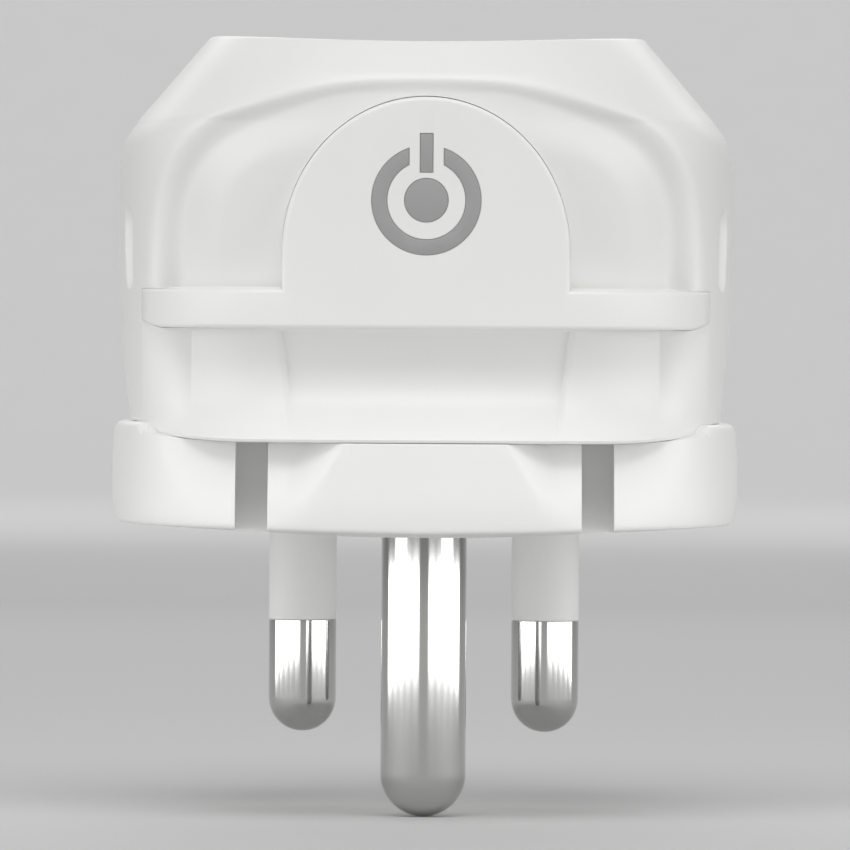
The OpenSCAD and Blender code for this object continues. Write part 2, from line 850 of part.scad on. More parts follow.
strap_t = 0.8;

module earth_strap() {
    color([0.8, 0.5, 0.3]) translate([0, earth_y, 0]) {
        difference() {
            translate([-3, -3, 7.4]) cube([6, 10, strap_t]);
            translate([0, 0, 7]) cylinder(d = 4.1, h = 2);
        }
        translate([-3, 6.2, 7.4]) cube([6, strap_t, earth_tube_low - 7.4]);
        translate([-3, -3, earth_tube_low - strap_t]) cube([6, 10, strap_t]);
    }
}

module live_strap() {
    color([0.8, 0.5, 0.3]) translate([-line_x, line_y, 0]) strap_to(line_tube_low);
}

module neutral_strap() {
    color([0.8, 0.5, 0.3]) translate([line_x, line_y, 0]) strap_to(line_tube_low);
}

// bent strip from a pin's stem straight up to the contact above it
module strap_to(top) {
    difference() {
        translate([-2.2, -2.5, 7.4]) cube([4.4, 5.6, strap_t]);
        translate([0, 0, 7]) cylinder(d = 3.7, h = 2);
    }
    translate([-2.2, 2.3, 7.4]) cube([4.4, strap_t, top - 7.4]);
    translate([-2.2, -2.5, top - strap_t]) cube([4.4, 5.6, strap_t]);
}

plug_base();
housing();
front_plate();
light_guide();
pivot_rod();
socket_insert();
shutter();
shutter_spring();
earth_pin();
live_pin();
neutral_pin();
live_pin_sleeve();
neutral_pin_sleeve();
pin_clamp();
clamp_screws();
case_screws();
contact_carrier();
earth_contact();
live_contact();
neutral_contact();
main_board();
relay_case();
transformer_core();
transformer_bobbin();
bulk_capacitors();
output_capacitor();
film_capacitor();
varistor();
fuse();
current_shunt();
metering_chip();
bridge_rectifier();
radio_board();
radio_shield();
button_board();
switch_body();
switch_plunger();
status_led();
earth_strap();
live_strap();
neutral_strap();
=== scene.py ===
import json
import math

import bmesh
import bpy
import numpy as np
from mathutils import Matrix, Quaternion, Vector


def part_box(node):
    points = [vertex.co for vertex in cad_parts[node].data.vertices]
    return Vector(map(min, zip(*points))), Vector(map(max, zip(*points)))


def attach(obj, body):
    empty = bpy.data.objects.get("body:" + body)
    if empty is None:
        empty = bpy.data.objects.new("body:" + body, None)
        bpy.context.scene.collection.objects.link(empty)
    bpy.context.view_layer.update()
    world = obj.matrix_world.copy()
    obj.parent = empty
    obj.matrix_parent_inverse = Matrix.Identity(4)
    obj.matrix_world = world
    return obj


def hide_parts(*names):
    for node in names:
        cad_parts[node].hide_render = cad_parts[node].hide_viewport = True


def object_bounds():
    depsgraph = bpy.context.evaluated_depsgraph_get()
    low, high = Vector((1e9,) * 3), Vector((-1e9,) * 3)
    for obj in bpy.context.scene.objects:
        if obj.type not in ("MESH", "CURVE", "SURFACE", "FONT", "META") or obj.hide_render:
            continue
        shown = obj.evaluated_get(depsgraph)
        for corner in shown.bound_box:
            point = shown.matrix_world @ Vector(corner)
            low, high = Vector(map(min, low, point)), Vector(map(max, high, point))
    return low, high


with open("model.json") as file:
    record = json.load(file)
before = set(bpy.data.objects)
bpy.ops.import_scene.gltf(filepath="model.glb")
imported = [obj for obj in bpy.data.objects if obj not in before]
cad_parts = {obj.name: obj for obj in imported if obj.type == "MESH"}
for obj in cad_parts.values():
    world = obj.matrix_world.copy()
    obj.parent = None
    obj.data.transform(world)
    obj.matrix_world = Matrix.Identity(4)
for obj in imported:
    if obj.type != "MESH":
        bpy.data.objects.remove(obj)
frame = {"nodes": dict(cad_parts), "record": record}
cad_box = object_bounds()

# Everything below is in millimetres until mm() turns it into metres.
MM = 0.001


def box_mm(node):
    low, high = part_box(node)
    return low / MM, high / MM


housing_low, housing_high = box_mm("housing")
_, base_high = box_mm("plug_base")
plate_low, plate_high = box_mm("front_plate")
insert_low, insert_high = box_mm("socket_insert")
earth_low, earth_high = box_mm("earth_pin")
live_low, live_high = box_mm("live_pin")
sleeve_low, _ = box_mm("live_pin_sleeve")

HALF_W = housing_high.x            # half width of the upper housing at its widest level
WIDEST_Z = 33.0                    # that level
BODY_H = housing_high.z            # height of the rim round the socket face
BACK_Y = housing_high.y            # back of the housing
BASE_HALF = base_high.x            # half width of the base
BASE_H = base_high.z               # height of the base at its sides
LIP_Z = housing_low.z              # underside of the front lip
FRONT_Y = -plate_low.y             # front of the press plate and of the lip
STRIP_Z = plate_low.z              # underside of the ledge strip
LEDGE_Z = STRIP_Z - 0.2            # underside of the ledge in the housing
LEDGE_TOP = LEDGE_Z + 4.1          # top edge of the ledge strip
PAD_TOP = plate_high.z             # top of the arched pad
LIP_HALF = plate_high.x            # half width of the ledge strip
PAD_HALF = 14.5                    # half width of the arched pad
PAD_ARCH_Z = 28.8                  # level where the pad's arch begins
ARCH_HALF = 28.4                   # half width of the arch that frames the hollow front
ARCH_H = 21.8                      # height of that arch above the ledge strip
ARCH_POWER = 3.3                   # squareness of that arch
GRIP_END = 23.7                    # where a slanted end of the finger grip meets its flank
RIM_FRONT = 28.0                   # distance of the socket face's rim from the axis, at the front
RIM_BACK = 25.5                    # the same at the back
RIM_DIP = 0.9                      # how far the middle of the rim sinks
RIM_DIP_HALF = 22.4                # half width of that sunk part
RIM_DIP_Z = 46.8                   # level where the sinking begins
RIM_DIP_RUN = 4.2                  # height over which it grows to its full depth
CHAMFER = 0.854                    # sideways run of the upper chamfer per mm of height
CHAMFER_Z = 42.8                   # a level on that chamfer
CHAMFER_IN = 2.3                   # how far inside the widest outline the chamfer is at that level
HOLLOW_TOP = 44.0                  # level above which the hollow front gets no deeper
HOLLOW_RUN = 19.0                  # height over which it gets deeper, down to the ledge
STRIP_T = 1.8                      # thickness of the press plate's skin
PLATE_BACK = 26.2                  # distance of the thick pad's back from the axis
GAP = 0.05                         # seam round the press plate
IN_FRONT = -40                     # a depth well in front of the object, where cutting tools start
WALL = 2.2                         # thickness of the mouldings
INNER_FRONT = 25.0                 # distance of the housing's inside wall from the axis, at the front
EARTH_Y = (earth_low.y + earth_high.y) / 2   # axis of the earth pin, which stands at x = 0
LINE_X = (live_low.x + live_high.x) / 2      # axis of the live pin, mirrored for the neutral pin
LINE_Y = (live_low.y + live_high.y) / 2
LINE_PINS = (("live", 1), ("neutral", -1))   # name and side of the two line pins
EARTH_R = 4.35                     # radius of the earth pin
LINE_R = 3.525                     # radius of the live and neutral pins
COLLAR = 0.3                       # how much thicker a pin is inside the base
HOLE_GAP = 0.05                    # room round that collar in the base's floor


# ---------- outlines ----------

def smooth_min(a, b, k):
    """The smaller of two values, blended where they differ by less than k."""
    h = np.maximum(k - np.abs(a - b), 0) / k
    return np.minimum(a, b) - h * h * k / 4


def smooth_step(low, high, v):
    """Rises smoothly from 0 at the low value to 1 at the high value."""
    t = np.clip((v - low) / (high - low), 0, 1)
    return t * t * (3 - 2 * t)


def outline_r(angle, half, front, back, power=3):
    """Distance from the Z axis to a rounded-square outline, at an angle from +X."""
    deep = np.where(np.sin(angle) < 0, front, back)
    across = np.abs(np.cos(angle)) / half
    along = np.abs(np.sin(angle)) / deep
    return (across**power + along**power) ** (-1 / power)


def bulge_half(z):
    """Half width of the body, which bulges most a little above its middle."""
    low = 0.0029 * (WIDEST_Z - z) ** 2
    high = 0.00025 * np.clip(z - WIDEST_Z, 0, 9) ** 4
    return HALF_W - np.where(z < WIDEST_Z, low, high)


def body_r(angle, z):
    """Outline of the body at one level, before the chamfer."""
    return outline_r(angle, bulge_half(z), FRONT_Y, BACK_Y)


def chamfer_r(angle, z):
    """The chamfer is a rounded pyramid that closes in towards the rim."""
    half = HALF_W - CHAMFER_IN - CHAMFER * (z - CHAMFER_Z)
    rise = CHAMFER * (BODY_H - z)
    return outline_r(angle, half, RIM_FRONT + rise, RIM_BACK + rise, 2.6)


def inside_arch(x, z):
    """How far inside the arch a point of the front lies."""
    across = np.abs(x) / ARCH_HALF
    up = np.maximum(z - LEDGE_TOP, 0) / ARCH_H
    f = np.maximum((across**ARCH_POWER + up**ARCH_POWER) ** (1 / ARCH_POWER), 0.1)
    slope = f ** (1 - ARCH_POWER) * np.hypot(across ** (ARCH_POWER - 1) / ARCH_HALF,
                                             up ** (ARCH_POWER - 1) / ARCH_H)
    return (1 - f) / np.maximum(slope, 0.02)


def hollow(x, z, chamfered):
    """What the hollow front takes away beyond the chamfer, deepest at the ledge."""
    inside = inside_arch(x, z)
    low = np.maximum(HOLLOW_TOP - z, 0) / HOLLOW_RUN
    corner = smooth_step(6, 20, np.abs(x))
    deepest = 3.4 - 0.8 * smooth_step(15, 26, np.abs(x))
    swell = (0.6 + 0.6 * corner) * smooth_step(2.5, 8, inside)
    depth = 1.5 + 0.5 * corner - swell + deepest * low**2
    return np.maximum(depth - chamfered, 0) * smooth_step(0, 2.0 + 2.2 * corner, inside)


def ledge_curve(x):
    """The ledge's lower edge curves up at its ends."""
    return 0.8 * np.clip((np.abs(x) - 26.4) / 2.4, 0, 1) ** 2


def ledge_under(x):
    """Level of the ledge's underside. At its ends it comes up close to the strip."""
    return LEDGE_Z + ledge_curve(x) + 0.15 * smooth_step(23, 26, np.abs(x))


def pocket_top(x):
    """Top of the pocket behind the strip, which leaves the strip room to rise when it is pressed."""
    return LEDGE_TOP + 0.02 + 0.14 * (1 - smooth_step(24, 26, np.abs(x)))


def lip_rise(x):
    """The lip's lower edge curves up towards its ends."""
    return 0.95 * (np.maximum(np.abs(x) - 18, 0) / 11) ** 2


def grip(x, z):
    """Depth of the finger grip: a flat middle, two flanks and a slanted face at each end."""
    across = np.abs(x)
    rise = np.clip((z - LIP_Z - 0.5) / (LEDGE_Z - LIP_Z - 0.5), 0, 1)
    end = np.clip((LIP_HALF - across) / (LIP_HALF - GRIP_END), 0, 1)
    flank = np.clip((GRIP_END - across) / (GRIP_END - PAD_HALF), 0, 1)
    middle = 1 - smooth_step(-0.4, 0.4, across - 13.4 - 1.4 * rise)
    return (3.8 * end + 0.6 * flank + 0.8 * middle) * (1 - (1 - rise) ** 4)


DIMPLE = Vector((HALF_W, -16.9, 29.0))   # middle of the round tool that leaves a side dimple
DIMPLE_R = 2.3
DIMPLE_LEN = 5.0


def dimple(angle, r, z):
    """Depth of the upright dimple in each side."""
    beyond = np.maximum(np.abs(z - DIMPLE.z) - DIMPLE_LEN / 2, 0)
    reach = np.sqrt(np.maximum(DIMPLE_R**2 - beyond**2, 0))
    away = np.hypot(np.abs(r * np.cos(angle)) - DIMPLE.x, r * np.sin(angle) - DIMPLE.y)
    return np.maximum(reach - away, 0)


def ring_angles():
    """Angles once round, closer together over the front half."""
    first = math.pi * 1.06
    last = math.pi * 1.94
    front = np.linspace(first, last, 760, endpoint=False)
    rest = np.linspace(last, math.pi * 3.06, 260, endpoint=False)
    return np.concatenate([front, rest])


# ---------- mesh making ----------

def add_object(name, mesh, body):
    obj = bpy.data.objects.new(name, mesh)
    bpy.context.scene.collection.objects.link(obj)
    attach(obj, body)
    return obj


def smooth(mesh):
    mesh.polygons.foreach_set("use_smooth", [True] * len(mesh.polygons))
    mesh.update()


def tube_mesh(name, rings):
    """A closed skin through rings of points, the last joined back to the first. Points in mm."""
    rings = np.asarray(rings)
    count, around, _ = rings.shape
    index = np.arange(count * around).reshape(count, around)
    across = np.roll(index, -1, axis=1)
    up = np.roll(index, -1, axis=0)
    both = np.roll(across, -1, axis=0)
    faces = np.stack([index, across, both, up], axis=-1).reshape(-1, 4)
    mesh = bpy.data.meshes.new(name)
    mesh.vertices.add(count * around)
    mesh.vertices.foreach_set("co", (rings.reshape(-1, 3) * MM).ravel())
    mesh.loops.add(len(faces) * 4)
    mesh.loops.foreach_set("vertex_index", faces.ravel())
    mesh.polygons.add(len(faces))
    mesh.polygons.foreach_set("loop_start", np.arange(0, len(faces) * 4, 4))
    mesh.polygons.foreach_set("loop_total", np.full(len(faces), 4))
    mesh.update(calc_edges=True)
    smooth(mesh)
    return mesh


def ring(angle, r, z, depth=0):
    """Points once round at distance r from the Z axis, pushed back along +Y by a depth."""
    return np.stack([r * np.cos(angle), r * np.sin(angle) + depth, np.broadcast_to(z, angle.shape)],
                    axis=-1)


def band_faces(rows, around):
    """Quads between neighbouring rings of points."""
    faces = []
    for k in range(rows - 1):
        for i in range(around):
            j = (i + 1) % around
            faces.append((k * around + i, k * around + j, (k + 1) * around + j, (k + 1) * around + i))
    return faces


def bmesh_walls(bm, first, second):
    """Quads that close the space between two loops of vertices."""
    for k in range(len(first)):
        j = (k + 1) % len(first)
        bm.faces.new((first[j], first[k], second[k], second[j]))


def prism(name, outline, near, far):
    """Solid from a closed front-view outline between two depths. A tool for cutting."""
    mesh = bpy.data.meshes.new(name)
    bm = bmesh.new()
    front = [bm.verts.new((x * MM, near * MM, z * MM)) for x, z in outline]
    back = [bm.verts.new((x * MM, far * MM, z * MM)) for x, z in outline]
    bm.faces.new(front)
    bm.faces.new(back[::-1])
    bmesh_walls(bm, front, back)
    bmesh.ops.recalc_face_normals(bm, faces=bm.faces)
    bm.to_mesh(mesh)
    bm.free()
    return bpy.data.objects.new(name, mesh)


def drum(name, x, y, r, low, high):
    """Upright cylinder between two levels. A tool for cutting."""
    turns = np.linspace(0, 2 * math.pi, 96, endpoint=False)
    circle = [((x + r * math.cos(t)) * MM, (y + r * math.sin(t)) * MM) for t in turns]
    mesh = bpy.data.meshes.new(name)
    bm = bmesh.new()
    bottom = [bm.verts.new((across, along, low * MM)) for across, along in circle]
    top = [bm.verts.new((across, along, high * MM)) for across, along in circle]
    bm.faces.new(bottom[::-1])
    bm.faces.new(top)
    bmesh_walls(bm, top, bottom)
    bm.to_mesh(mesh)
    bm.free()
    return bpy.data.objects.new(name, mesh)


def apply_modifiers(obj):
    graph = bpy.context.evaluated_depsgraph_get()
    mesh = bpy.data.meshes.new_from_object(obj.evaluated_get(graph), depsgraph=graph)
    obj.modifiers.clear()
    obj.data = mesh


def cut(obj, tools):
    """Takes the tools out of obj and applies the result."""
    for tool in tools:
        bpy.context.scene.collection.objects.link(tool)
        modifier = obj.modifiers.new("cut", "BOOLEAN")
        modifier.object = tool
        modifier.operation = "DIFFERENCE"
        modifier.solver = "EXACT"
    apply_modifiers(obj)
    for tool in tools:
        bpy.data.objects.remove(tool)


def shade_by_angle(obj, degrees):
    """Smooth shading that keeps edges sharper than the angle."""
    bm = bmesh.new()
    bm.from_mesh(obj.data)
    for face in bm.faces:
        face.smooth = True
    for edge in bm.edges:
        edge.smooth = len(edge.link_faces) == 2 and edge.calc_face_angle() < math.radians(degrees)
    bm.to_mesh(obj.data)
    bm.free()


# ---------- upper housing ----------

def rim_dip(x, z):
    """The rim sinks a little towards its middle."""
    across = np.maximum(1 - (x / RIM_DIP_HALF) ** 2, 0)
    return RIM_DIP * across * np.clip((z - RIM_DIP_Z) / RIM_DIP_RUN, 0, 1)


def housing_ring(angle, z, inset=0.0):
    """Outside of the housing at one level, without the pocket behind the ledge strip."""
    z = np.broadcast_to(z, angle.shape)
    body = body_r(angle, z)
    r = smooth_min(body, chamfer_r(angle, z), 0.6)
    x = r * np.cos(angle)
    low = z < ledge_under(x)
    carved = np.where(low, grip(x, z), np.where(z > LEDGE_TOP, hollow(x, z, body - r), 0))
    depth = np.where(np.sin(angle) < 0, carved, 0)
    return ring(angle, r - dimple(angle, r, z) - inset, z - rim_dip(x, z), depth)


def shelf_ring(angle, z):
    """Outside of the shelf that backs the ledge strip."""
    z = np.broadcast_to(z, angle.shape)
    plain = body_r(angle, z)
    shelf = outline_r(angle, HALF_W, FRONT_Y, BACK_Y) - STRIP_T - GAP
    behind = (np.abs(plain * np.cos(angle)) < LIP_HALF + GAP) & (np.sin(angle) < 0)
    return ring(angle, np.where(behind, np.minimum(shelf, plain), plain), z)


def seam(angle, r, front_z, side_z):
    """Height of the seam with the base: low along the front lip, higher elsewhere."""
    x = np.abs(r * np.cos(angle))
    side = smooth_step(LIP_HALF - 0.5, LIP_HALF + 0.8, x)
    front_z = front_z + lip_rise(x)
    return np.where(np.sin(angle) < -0.3, front_z + (side_z - front_z) * side, side_z)


def between(low, high, part):
    """Part of the way from low to high."""
    return low + (high - low) * part


def lip_rings(angle, low):
    """From the rounded bottom edge up to the finger grip."""
    rounding = ((0.35, 0), (0.12, 0.06), (0, 0.3))   # inset and rise of each ring
    rings = [housing_ring(angle, low + rise, inset) for inset, rise in rounding]
    rings += [housing_ring(angle, between(low + 0.3, 12.6, part)) for part in np.linspace(0.3, 1, 4)]
    rings += [housing_ring(angle, z) for z in np.arange(13.0, LEDGE_Z - 0.5, 0.4)]
    return rings


def ledge_rings(angle):
    """Underside of the ledge, the shelf behind the strip, and the pocket's top."""
    plain = body_r(angle, np.full(angle.shape, LEDGE_Z))
    under = ledge_under(plain * np.cos(angle))
    wall = housing_ring(angle, under - 0.001)
    shelf = shelf_ring(angle, under)
    rings = [housing_ring(angle, under - 0.25)]
    rings += [between(wall, shelf, part) for part in (0.06, 0.5, 0.97)]
    top = pocket_top(plain * np.cos(angle))
    rings += [shelf_ring(angle, between(under, top, part)) for part in np.linspace(0.03, 0.97, 7)]
    shelf = shelf_ring(angle, top)
    wall = housing_ring(angle, top + 0.001)
    rings += [between(shelf, wall, part) for part in (0.1, 0.5, 0.95)]
    rings.append(housing_ring(angle, top + 0.12))
    return rings


def upper_rings(angle):
    """The hollow front and the chamfer, up to the rounded rim."""
    rings = [housing_ring(angle, z) for z in np.linspace(LEDGE_TOP + 0.45, 41, 56)]
    rings += [housing_ring(angle, z) for z in np.linspace(41.2, BODY_H - 0.12, 56)]
    rounding = ((0.03, 0.06), (0.09, 0.015), (0.16, 0))   # inset and drop of each ring
    rings += [housing_ring(angle, BODY_H - drop, inset) for inset, drop in rounding]
    return rings


def mouth_rings(angle):
    """Flat rim and the mouth of the socket recess."""
    edge = 0.95
    mouth = outline_r(angle, insert_high.x - edge, -insert_low.y - edge, insert_high.y - edge)
    rings = []
    for grow, drop in ((0.2, 0), (0.06, 0.06), (0, 0.2)):
        dip = rim_dip((mouth + grow) * np.cos(angle), np.full(angle.shape, BODY_H))
        rings.append(ring(angle, mouth + grow, BODY_H - drop - dip))
    rings.append(ring(angle, mouth, BODY_H - 2.1))
    return rings


def inside_rings(angle, low):
    """Inside wall, from the top down to the seam."""
    rings = []
    for z in (BODY_H - WALL, 45, 41, 38, 33, 20, LIP_Z + 2):
        plain = outline_r(angle, bulge_half(z) - WALL, INNER_FRONT, BACK_Y - WALL)
        inner = np.minimum(plain, chamfer_r(angle, z) - WALL)
        rings.append(ring(angle, inner, z if z > LIP_Z + 2 else low + 0.2))
    return rings


def housing_rings():
    angle = ring_angles()
    low = seam(angle, body_r(angle, np.full(angle.shape, 11.0)), LIP_Z, BASE_H)
    outside = lip_rings(angle, low) + ledge_rings(angle) + upper_rings(angle)
    return outside + mouth_rings(angle) + inside_rings(angle, low)


def arch_points(half, bottom, top, steps):
    """Arched outline from the lower right corner, round over the top, to the lower left corner."""
    turns = np.linspace(0, math.pi, steps + 1)
    curve = [(half * math.cos(t), PAD_ARCH_Z + (top - PAD_ARCH_Z) * math.sin(t)) for t in turns]
    return [(half, bottom)] + curve + [(-half, bottom)]


def make_housing():
    obj = add_object("housing_shell", tube_mesh("housing_shell", housing_rings()), "plug")
    window = arch_points(PAD_HALF + GAP, LEDGE_TOP - 0.6, PAD_TOP + 2 * GAP, 64)
    cut(obj, [prism("window", window, IN_FRONT, -22)])
    shade_by_angle(obj, 40)
    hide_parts("housing")
    return obj


# ---------- base ----------

GROOVE_IN = 15.8                   # near and far side of a groove in the front of the base
GROOVE_OUT = 19.1
GROOVE_BACK = -23.0                # back of a groove
NOSE_SHADOW = 4.0                  # depth of the recess on either side of the nose
FOOT_EDGE = 0.5                    # rounding between the foot's flat and the base's side
INNER_HALF = BASE_HALF - 2.6       # inside wall of the base
FLOOR_TOP = 3.0                    # top of the base's floor, on which the pin heads sit
SCREW_PLACES = ((-21, -15), (21, -15), (-20, 20.5), (20, 20.5))
HEAD_HOLE_R = 2.9                  # hole for a screw's head, and for its shank
SCREW_HOLE_R = 1.6


def foot_lift(x):
    """The bottom edge lifts off the wall socket, more so towards the sides."""
    return 0.42 + 0.75 * np.abs(x / BASE_HALF) ** 1.3


def nose_shadow(x, z):
    """The front falls back under the lip on either side of a soft nose."""
    nose = 8 + 0.5 * (LIP_Z - z)
    across = np.abs(x)
    beside = smooth_step(nose, nose + 4, across) * (1 - smooth_step(19, 29.5, across))
    near_lip = np.clip((z - 1) / (LIP_Z - 1), 0, 1)
    return NOSE_SHADOW * beside * near_lip**1.5


def base_ring(angle, z, inset=0.0):
    """Outside of the base at one level. Its wall is a little barrel-shaped and tucks in at the foot."""
    z = np.broadcast_to(z, angle.shape)
    r = outline_r(angle, BASE_HALF, FRONT_Y, base_high.y)
    barrel = 0.006 * (z - 5) ** 2 + 0.03 * np.maximum(4.4 - z, 0) ** 2
    depth = np.where(np.sin(angle) < 0, nose_shadow(r * np.cos(angle), z), 0)
    return ring(angle, r - barrel - inset, z, depth)


def base_rings():
    angle = ring_angles()
    outer = outline_r(angle, BASE_HALF, FRONT_Y, base_high.y)
    top = seam(angle, outer, LIP_Z - 0.04, BASE_H)
    lift = foot_lift(outer * np.cos(angle))
    rings = []
    for part in (0, 0.02, 0.25, 0.5, 0.75):
        foot = between(outline_r(angle, 10, 27, 26), outer - FOOT_EDGE, part)
        rings.append(ring(angle, foot, lift * part**1.4))
    # inset and rise of each ring of the foot's rounded edge
    rounding = ((0.45, 0), (0.3, 0.02), (0.1, 0.12), (0.03, 0.24), (0, 0.4))
    rings += [base_ring(angle, lift + rise, inset) for inset, rise in rounding]
    rings += [base_ring(angle, between(lift + 0.4, 8.2, part)) for part in np.linspace(0.04, 1, 18)]
    # rounded top edge, tighter under the lip
    round_r = np.where(top > LIP_Z + 1.2, 0.9, 0.12)
    for turn in np.radians([0, 15, 30, 45, 60, 75, 90]):
        z = top - round_r * (1 - math.sin(turn))
        rings.append(base_ring(angle, z, round_r * (1 - math.cos(turn))))
    inner = outline_r(angle, INNER_HALF, 21.0, base_high.y - 2.8)
    rings.append(ring(angle, inner, top - 0.02))
    rings.append(ring(angle, inner, FLOOR_TOP))
    return rings


def make_base():
    """The base's wall is a skin, and its floor is filled in across the middle."""
    rings = base_rings()
    count = len(rings)
    around = len(rings[0])
    points = np.asarray(rings).reshape(-1, 3) * MM
    faces = band_faces(count, around)
    faces.append(tuple(range(around))[::-1])
    faces.append(tuple((count - 1) * around + i for i in range(around)))
    mesh = bpy.data.meshes.new("base_shell")
    mesh.from_pydata(points.tolist(), [], faces)
    obj = add_object("base_shell", mesh, "plug")
    cut(obj, floor_tools() + groove_tools())
    shade_by_angle(obj, 40)
    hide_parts("plug_base")
    return obj


def groove_tools():
    tools = []
    for side in (-1, 1):
        near = side * GROOVE_IN
        far = side * GROOVE_OUT
        outline = [(near, -1), (far, -1), (far, 13), (near, 13)]
        tools.append(prism("groove", outline, IN_FRONT, GROOVE_BACK))
    return tools


def floor_tools():
    """Holes for the three pins and the four case screws."""
    pins = ((0, EARTH_Y, EARTH_R), (LINE_X, LINE_Y, LINE_R), (-LINE_X, LINE_Y, LINE_R))
    tools = [drum("pin_hole", x, y, r + COLLAR + HOLE_GAP, -1, 4) for x, y, r in pins]
    tools += [drum("head_hole", x, y, HEAD_HOLE_R, -1, 2.6) for x, y in SCREW_PLACES]
    tools += [drum("screw_hole", x, y, SCREW_HOLE_R, 1, 4) for x, y in SCREW_PLACES]
    return tools


# ---------- press plate ----------

def plate_front_y(x):
    """Front surface of the press plate at a place across it."""
    return -FRONT_Y * (1 - (np.abs(x) / HALF_W) ** 3) ** (1 / 3)


def plate_outline():
    """Front view of the press plate: a strip with an arched pad on it, small radii at its corners."""
    arch = arch_points(PAD_HALF, LEDGE_TOP, PAD_TOP, 72)
    ends = np.linspace(0, 1, 7)
    right = [(LIP_HALF - 2.4 * t, float(STRIP_Z + ledge_curve(LIP_HALF - 2.4 * t))) for t in ends]
    left = [(-x, z) for x, z in right]
    strip = [(-LIP_HALF, LEDGE_TOP)] + left + right[::-1] + [(LIP_HALF, LEDGE_TOP)]
    return arch, strip


def plate_block():
    """The press plate before it is curved: a flat strip, and a thick pad behind its arch."""
    arch, strip = plate_outline()
    loop = arch + strip
    last = len(arch) - 1
    bm = bmesh.new()
    front = [bm.verts.new((x, 0, z)) for x, z in loop]
    back = [bm.verts.new((x, STRIP_T, z)) for x, z in loop]
    deep = [bm.verts.new((x, FRONT_Y - PLATE_BACK, z)) for x, z in arch]
    bm.faces.new(front)
    bmesh_walls(bm, front, back)
    for k in range(last):
        bm.faces.new((back[k + 1], back[k], deep[k], deep[k + 1]))
    bm.faces.new((back[0], back[last], deep[last], deep[0]))
    bm.faces.new(deep[::-1])
    bm.faces.new([back[0]] + back[last:])
    bmesh.ops.recalc_face_normals(bm, faces=bm.faces)
    return bm


def round_front_edges(bm):
    """Rounds the front edges of the plate, apart from the strip's two short ends."""
    edges = [e for e in bm.edges
             if all(v.co.y == 0 for v in e.verts)
             and not all(abs(abs(v.co.x) - LIP_HALF) < 0.01 for v in e.verts)]
    bmesh.ops.bevel(bm, geom=edges, offset=0.45, segments=5, profile=0.5, affect="EDGES",
                    clamp_overlap=True)


def curve_to_front(bm):
    """Cuts the flat plate into upright bands and lays it on the body's curved front, in metres."""
    for x in np.arange(-28, 28.01, 0.8):
        parts = bm.verts[:] + bm.edges[:] + bm.faces[:]
        bmesh.ops.bisect_plane(bm, geom=parts, plane_co=(x, 0, 0), plane_no=(1, 0, 0), dist=1e-5)
    for v in bm.verts:
        v.co = Vector((v.co.x, v.co.y + float(plate_front_y(v.co.x)), v.co.z)) * MM


def make_front_plate():
    bm = plate_block()
    round_front_edges(bm)
    curve_to_front(bm)
    mesh = bpy.data.meshes.new("press_plate_skin")
    bm.to_mesh(mesh)
    bm.free()
    obj = add_object("press_plate_skin", mesh, "press_plate")
    cut(obj, symbol_prisms(0.04, -FRONT_Y - 1, -FRONT_Y + 0.6))
    shade_by_angle(obj, 35)
    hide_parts("front_plate")
    return obj


# ---------- power symbol ----------

SYMBOL_Z = 34.0                    # middle of the symbol
RING_R = 5.5                       # outside and inside of the broken ring
RING_HOLE_R = 3.95
RING_GAP = 3.5                     # width of the break at its top
DOT_R = 2.2
BAR_W = 1.3                        # the upright bar, measured from the middle of the symbol
BAR_LOW = 2.8
BAR_HIGH = 6.7
WINDOW_SINK = 0.02                 # how far the lit windows lie behind the pad's foremost line


def arc(r, start, stop, steps):
    """Points along an arc round the middle of the symbol."""
    return [(r * math.cos(t), SYMBOL_Z + r * math.sin(t)) for t in np.linspace(start, stop, steps)]


def symbol_outlines(grow):
    """Broken ring, bar and dot of the power symbol, as closed front-view outlines."""
    outer = RING_R + grow
    inner = RING_HOLE_R - grow
    half_gap = RING_GAP / 2 - grow
    start = math.acos(half_gap / outer)
    stop = math.acos(half_gap / inner)
    ring_loop = arc(outer, math.pi - start, 2 * math.pi + start, 97)
    ring_loop += arc(inner, 2 * math.pi + stop, math.pi - stop, 97)
    dot = arc(DOT_R + grow, 0, 2 * math.pi, 65)[:-1]
    half = BAR_W / 2 + grow
    low = SYMBOL_Z + BAR_LOW - grow
    high = SYMBOL_Z + BAR_HIGH + grow
    bar = [(-half, low), (half, low), (half, high), (-half, high)]
    return [ring_loop, dot, bar]


def symbol_prisms(grow, near, far):
    return [prism("symbol_tool", loop, near, far) for loop in symbol_outlines(grow)]


def make_symbol():
    """The three lit windows, lying flush in the pad."""
    near = -FRONT_Y + WINDOW_SINK
    bm = bmesh.new()
    for part in symbol_prisms(0, near, -FRONT_Y + 1.5):
        bm.from_mesh(part.data)
        bpy.data.objects.remove(part)
    front = [e for e in bm.edges if all(abs(v.co.y / MM - near) < 1e-4 for v in e.verts)]
    bmesh.ops.bevel(bm, geom=front, offset=0.05 * MM, segments=2, profile=0.5, affect="EDGES")
    mesh = bpy.data.meshes.new("symbol_windows")
    bm.to_mesh(mesh)
    bm.free()
    obj = add_object("symbol_windows", mesh, "press_plate")
    shade_by_angle(obj, 30)
    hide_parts("light_guide")
    return obj


# ---------- pins ----------

PIN_AROUND = 128                   # points round a pin
HEAD_TOP = 5.0                     # top of the pin heads
EARTH_HEAD_R = 6.3
LINE_HEAD_R = 5.3
EARTH_POST_R = 2.0                 # post above the head, to which a strap is joined
LINE_POST_R = 1.8
CORE_R = 2.5                       # metal inside a sleeve
BORE_R = 2.52                      # bore of a sleeve


